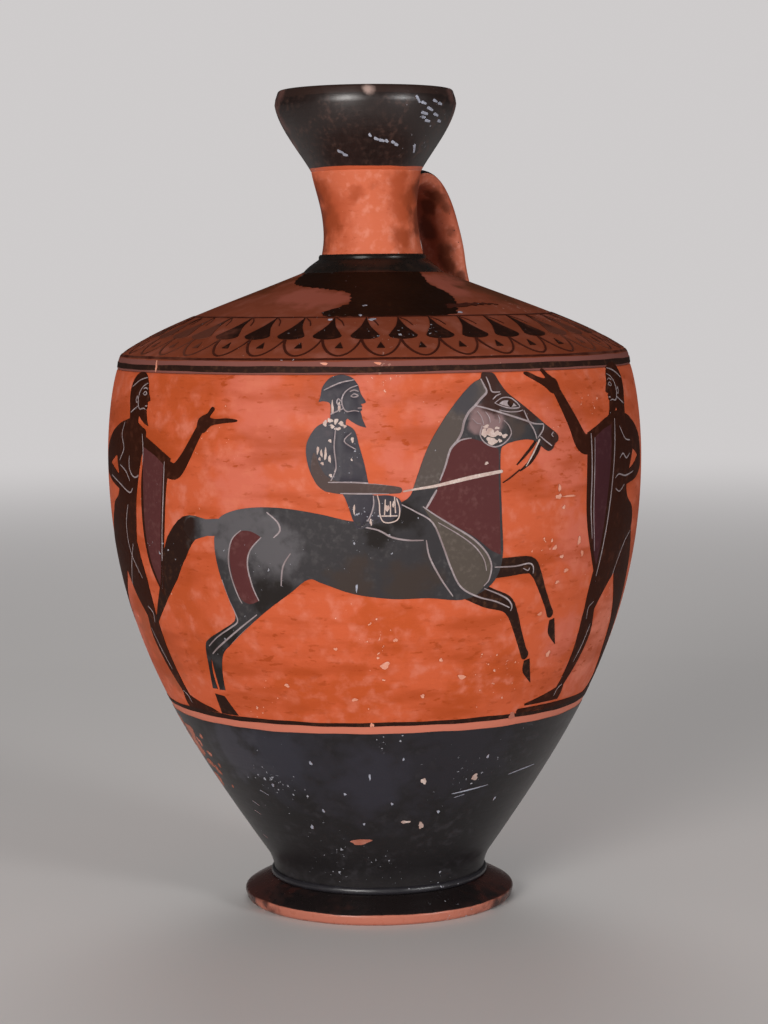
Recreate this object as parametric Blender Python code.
"""A shoulder lekythos: an oil jar thrown in eight clay sections that are luted together.

Units are metres in the scene and millimetres in the constants, +Z is up.
The origin is on the turning axis in the plane the foot stands on, and +Y runs through the handle.
"""

import math

import bmesh
import bpy
from mathutils import Vector

MM = 0.001

# Driving dimensions, in millimetres.
TOTAL_HEIGHT = 195.0
FOOT_RADIUS = 32.8
FOOT_TOP = 5.9
STEM_RADIUS = 25.5
BELLY_RADIUS = 64.1
BELLY_HEIGHT = 108.0
SHOULDER_EDGE_RADIUS = 61.2
SHOULDER_EDGE_HEIGHT = 131.4
COLLAR_RADIUS = 16.6
COLLAR_BASE = 152.0
COLLAR_TOP = 156.0
NECK_WAIST_RADIUS = 11.4
NECK_WAIST_HEIGHT = 164.0
NECK_TOP = 175.6
MOUTH_RADIUS = 21.7
MOUTH_WIDEST_HEIGHT = 191.6
BORE_RADIUS = 7.6
WALL = 4.3
HANDLE_WIDTH = 12.2
HANDLE_THICKNESS = 4.2

# Fits: sections that meet are kept this far apart, where the potter's slip would lie.
SEAM = 0.3
TENON_RADIUS = 10.0
BOSS_RADIUS = 23.6
SEAT_DEPTH = 1.2

# The jar was thrown by hand: its neck drifts sideways towards the mouth, in the direction given from +X.
LEAN = 1.3
LEAN_DIRECTION = math.radians(220)

# Facets round a turned section, and points along a curve of its profile.
SEGMENTS = 48
LONG_CURVE = 13
SHORT_CURVE = 6

CLAY = (0.52, 0.14, 0.055)
SHOULDER_CLAY = (0.30, 0.10, 0.055)
BLACK_GLOSS = (0.012, 0.012, 0.015)


def bezier(start, start_handle, end_handle, end, count):
    """Points of a cubic curve through start and end, both included."""
    points = []
    for step in range(count + 1):
        t = step / count
        weights = ((1 - t) ** 3, 3 * t * (1 - t) ** 2, 3 * t * t * (1 - t), t**3)
        corners = (start, start_handle, end_handle, end)
        points.append(tuple(sum(w * c[axis] for w, c in zip(weights, corners)) for axis in (0, 1)))
    return points


def inset(points, distance):
    """The points of a profile that runs upwards, moved towards the axis by a wall's thickness."""
    moved = []
    for index, (radius, height) in enumerate(points):
        before = points[max(index - 1, 0)]
        after = points[min(index + 1, len(points) - 1)]
        along = Vector((after[0] - before[0], after[1] - before[1])).normalized()
        moved.append((radius - along[1] * distance, height + along[0] * distance))
    return moved


def leaned(point):
    """A point in millimetres carried sideways with the neck, from the collar up."""
    x, y, z = point
    share = min(max((z - COLLAR_TOP) / (NECK_TOP - COLLAR_TOP), 0.0), 1.0)
    drift = LEAN * share * share * (3 - 2 * share)
    return x + drift * math.cos(LEAN_DIRECTION), y + drift * math.sin(LEAN_DIRECTION), z


def clay_finish(name, colour, roughness):
    """A plain fired-clay surface for one section."""
    material = bpy.data.materials.new(name)
    material.use_nodes = True
    shader = material.node_tree.nodes["Principled BSDF"]
    shader.inputs["Base Color"].default_value = (*colour, 1.0)
    shader.inputs["Roughness"].default_value = roughness
    shader.inputs["Metallic"].default_value = 0.0
    return material


def section(name, shape, colour, roughness):
    """A named object in metres from a bmesh in millimetres, smooth but for its arrises."""
    bmesh.ops.remove_doubles(shape, verts=shape.verts, dist=0.001)
    bmesh.ops.recalc_face_normals(shape, faces=shape.faces)
    for vertex in shape.verts:
        vertex.co = Vector(leaned(vertex.co)) * MM
    mesh = bpy.data.meshes.new(name)
    shape.to_mesh(mesh)
    shape.free()
    mesh.shade_smooth()
    mesh.set_sharp_from_angle(angle=math.radians(35))
    mesh.materials.append(clay_finish(name + "_clay", colour, roughness))
    thing = bpy.data.objects.new(name, mesh)
    bpy.context.scene.collection.objects.link(thing)
    return thing


def turned(name, profile, colour, roughness, closed=True):
    """A section turned on the wheel. An open profile starts and ends on the axis."""
    shape = bmesh.new()
    ring = [shape.verts.new((radius, 0.0, height)) for radius, height in profile]
    pairs = list(zip(ring, ring[1:]))
    if closed:
        pairs.append((ring[-1], ring[0]))
    edges = [shape.edges.new(pair) for pair in pairs]
    bmesh.ops.spin(
        shape,
        geom=ring + edges,
        axis=(0, 0, 1),
        cent=(0, 0, 0),
        angle=math.tau,
        steps=SEGMENTS,
        use_merge=True,
    )
    return section(name, shape, colour, roughness)


# Profiles that more than one section needs, as (radius, height) in millimetres, running upwards.
STEM_TOP = (27.6, 12.8)
BODY_SEAM = 129.5
LOWER_WALL = bezier(STEM_TOP, (47.7, 42.3), (BELLY_RADIUS, 67.5), (BELLY_RADIUS, BELLY_HEIGHT), LONG_CURVE)
UPPER_WALL = bezier(
    (BELLY_RADIUS, BELLY_HEIGHT),
    (BELLY_RADIUS, BELLY_HEIGHT + 6),
    (63.4, BODY_SEAM - 6),
    (SHOULDER_EDGE_RADIUS + 0.3, BODY_SEAM),
    SHORT_CURVE,
)
SHOULDER_SLOPE = bezier(
    (SHOULDER_EDGE_RADIUS - 1.0, SHOULDER_EDGE_HEIGHT + 1.8),
    (50.0, SHOULDER_EDGE_HEIGHT + 8.6),
    (34.0, SHOULDER_EDGE_HEIGHT + 13.6),
    (COLLAR_RADIUS + 0.6, COLLAR_BASE - SEAM),
    SHORT_CURVE,
)
NECK_WALL = bezier(
    (12.2, COLLAR_TOP + SEAM), (NECK_WAIST_RADIUS, 159.5), (NECK_WAIST_RADIUS, 162.0),
    (NECK_WAIST_RADIUS, NECK_WAIST_HEIGHT), SHORT_CURVE // 2
) + bezier(
    (NECK_WAIST_RADIUS, NECK_WAIST_HEIGHT), (NECK_WAIST_RADIUS, 168.5), (12.5, 172.0),
    (13.1, NECK_TOP), SHORT_CURVE
)[1:]
MOUTH_WALL = bezier(
    (13.2, NECK_TOP + SEAM), (15.4, 180.0), (20.9, 186.2), (MOUTH_RADIUS, MOUTH_WIDEST_HEIGHT), SHORT_CURVE + 2
)


def make_foot():
    """A disc foot with a standing ring, a hollowed underside and a dished seat for the body."""
    standing_ring = ((0.0, 2.4), (14.0, 2.4), (21.5, 0.0), (31.6, 0.0))
    edge = ((32.3, 0.6), (FOOT_RADIUS, 2.3), (FOOT_RADIUS - 0.3, 2.9))
    slope = bezier((FOOT_RADIUS - 0.3, 2.9), (30.6, 4.1), (28.4, 5.0), (26.4, FOOT_TOP), 3)[1:]
    seat = (
        (BOSS_RADIUS + SEAM, FOOT_TOP),
        (BOSS_RADIUS + SEAM, FOOT_TOP - SEAT_DEPTH),
        (0.0, FOOT_TOP - SEAT_DEPTH),
    )
    return turned("foot", [*standing_ring, *edge, *slope, *seat], BLACK_GLOSS, 0.3, closed=False)


def make_foot_fillet():
    """The raised ring that hides the joint between foot and body."""
    low, high = FOOT_TOP + SEAM, FOOT_TOP + SEAM + 1.2
    inner = BOSS_RADIUS + SEAM
    outer = 26.3
    profile = [(inner, low), (outer - 0.4, low), (outer, low + 0.4), (outer, high - 0.4), (outer - 0.4, high)]
    return turned("foot_fillet", [*profile, (inner, high)], BLACK_GLOSS, 0.3)


def make_body():
    """The thrown body: a tapering lower wall and a full belly, open at the top, on a boss for the foot."""
    base = FOOT_TOP + 1.2 + 2 * SEAM
    boss_bottom = FOOT_TOP - SEAT_DEPTH + SEAM
    boss = [(0.0, boss_bottom), (BOSS_RADIUS, boss_bottom), (BOSS_RADIUS, base)]
    stem = bezier((STEM_RADIUS, base), (STEM_RADIUS + 0.3, 9.4), (26.4, 11.4), STEM_TOP, 3)
    outside = boss + stem + LOWER_WALL[1:] + UPPER_WALL[1:]
    inside = inset(LOWER_WALL[2::2] + UPPER_WALL[1::2], WALL)
    rim = (UPPER_WALL[-1][0] - WALL, BODY_SEAM)
    floor = [(20.0, 15.6), (0.0, 13.0)]
    return turned("body", outside + [rim] + inside[-2::-1] + floor, CLAY, 0.6, closed=False)


def make_shoulder():
    """The sloping shoulder, with a spigot inside the body's rim and a round seat for the neck."""
    low = BODY_SEAM + SEAM
    rim = SHOULDER_EDGE_RADIUS + 0.2
    edge = [(rim, low), (SHOULDER_EDGE_RADIUS, SHOULDER_EDGE_HEIGHT), (60.9, SHOULDER_EDGE_HEIGHT + 1.0)]
    hole = TENON_RADIUS + SEAM
    top = [(hole, COLLAR_BASE - SEAM), (hole, COLLAR_BASE - SEAM - WALL)]
    spigot_outer = UPPER_WALL[-1][0] - WALL - SEAM
    spigot = [
        (spigot_outer - 3.2, BODY_SEAM + 0.6),
        (spigot_outer - 2.6, BODY_SEAM - 2.6),
        (spigot_outer - 0.6, BODY_SEAM - 2.6),
        (spigot_outer, low),
    ]
    underside = [(radius, height - WALL) for radius, height in SHOULDER_SLOPE[-1:1:-2]]
    return turned("shoulder", edge + SHOULDER_SLOPE + top + underside + spigot, SHOULDER_CLAY, 0.6)


def make_neck_collar():
    """The conical collar round the foot of the neck, with a rounded upper edge."""
    hole = TENON_RADIUS + SEAM
    flare = bezier((COLLAR_RADIUS, COLLAR_BASE), (15.2, 153.6), (13.6, 154.6), (13.0, 155.2), 3)
    edge = [(12.95, 155.7), (12.6, COLLAR_TOP)]
    return turned("neck_collar", [(hole, COLLAR_BASE), *flare, *edge, (hole, COLLAR_TOP)], BLACK_GLOSS, 0.3)


def make_neck():
    """A waisted tube whose tenon passes through the collar into the shoulder."""
    tenon_bottom = COLLAR_BASE - SEAM - WALL
    tenon = [(BORE_RADIUS, tenon_bottom), (TENON_RADIUS, tenon_bottom), (TENON_RADIUS, COLLAR_TOP + SEAM)]
    lip_radius = TENON_RADIUS + 0.4
    lip = [(lip_radius, NECK_TOP), (lip_radius, NECK_TOP + SEAT_DEPTH), (BORE_RADIUS, NECK_TOP + SEAT_DEPTH)]
    bore = [(BORE_RADIUS, NECK_TOP - 6), (BORE_RADIUS, NECK_WAIST_HEIGHT), (BORE_RADIUS, COLLAR_TOP)]
    return turned("neck", tenon + NECK_WALL + lip + bore, CLAY, 0.6)


def make_mouth():
    """The cup mouth, hollowed as a funnel, with a bevelled lip and a socket for the neck."""
    lip = [(21.5, 192.9), (20.9, TOTAL_HEIGHT - 0.3), (20.5, TOTAL_HEIGHT), (18.4, TOTAL_HEIGHT)]
    funnel = bezier((18.0, TOTAL_HEIGHT - 0.4), (17.2, 187.5), (11.0, 184.0), (BORE_RADIUS, 179.5), SHORT_CURVE)
    socket_radius = TENON_RADIUS + 0.4 + SEAM
    socket_top = NECK_TOP + SEAT_DEPTH + SEAM
    socket = [(BORE_RADIUS, socket_top), (socket_radius, socket_top), (socket_radius, NECK_TOP + SEAM)]
    return turned("mouth", MOUTH_WALL + lip + funnel + socket, BLACK_GLOSS, 0.3)


def make_handle_cutter():
    """A solid that fills the jar's outline plus one seam, so that the handle stops just clear of it."""
    outline = SHOULDER_SLOPE[2:] + [(COLLAR_RADIUS, COLLAR_BASE), (13.0, 155.2)] + NECK_WALL + MOUTH_WALL
    outline = inset(outline, -SEAM)
    profile = [(0.0, outline[0][1] - 12), (outline[0][0], outline[0][1] - 12), *outline, (0.0, outline[-1][1])]
    cutter = turned("handle_cutter", profile, CLAY, 0.6, closed=False)
    cutter.hide_render = True
    cutter.display_type = "WIRE"
    return cutter


def make_handle(cutter):
    """A strap handle: an oval section carried from the neck, over and down to the shoulder."""
    bend = (25.4, 164.8)
    line = bezier((9.0, 171.0), (14.0, 177.0), (22.4, 176.2), bend, 10)
    line += bezier(bend, (27.2, 158.2), (28.6, 153.0), (28.8, 142.0), 9)[1:]
    sides = 14
    shape = bmesh.new()
    rings = []
    for index, (out, height) in enumerate(line):
        before, after = line[max(index - 1, 0)], line[min(index + 1, len(line) - 1)]
        along = Vector((0, after[0] - before[0], after[1] - before[1])).normalized()
        across = Vector((1, 0, 0)).cross(along)
        root = max(0.0, 1 - min(index, len(line) - 1 - index) / 5)
        width = HANDLE_WIDTH * (1 + 0.25 * root * root)
        ring = []
        for side in range(sides):
            turn = math.tau * side / sides
            wide = math.copysign(abs(math.cos(turn)) ** 0.7, math.cos(turn)) * width / 2
            thick = math.copysign(abs(math.sin(turn)) ** 0.7, math.sin(turn)) * HANDLE_THICKNESS / 2
            ring.append(shape.verts.new(Vector((wide, out, height)) + across * thick))
        rings.append(ring)
    for low, high in zip(rings, rings[1:]):
        for side in range(sides):
            after = (side + 1) % sides
            shape.faces.new((low[side], low[after], high[after], high[side]))
    shape.faces.new(rings[0][::-1])
    shape.faces.new(rings[-1])
    handle = section("handle", shape, CLAY, 0.6)
    cut = handle.modifiers.new("clear_of_jar", "BOOLEAN")
    cut.operation = "DIFFERENCE"
    cut.object = cutter
    return handle


def main():
    for thing in list(bpy.data.objects):
        bpy.data.objects.remove(thing)
    make_foot()
    make_foot_fillet()
    make_body()
    make_shoulder()
    make_neck_collar()
    make_neck()
    make_mouth()
    make_handle(make_handle_cutter())


main()
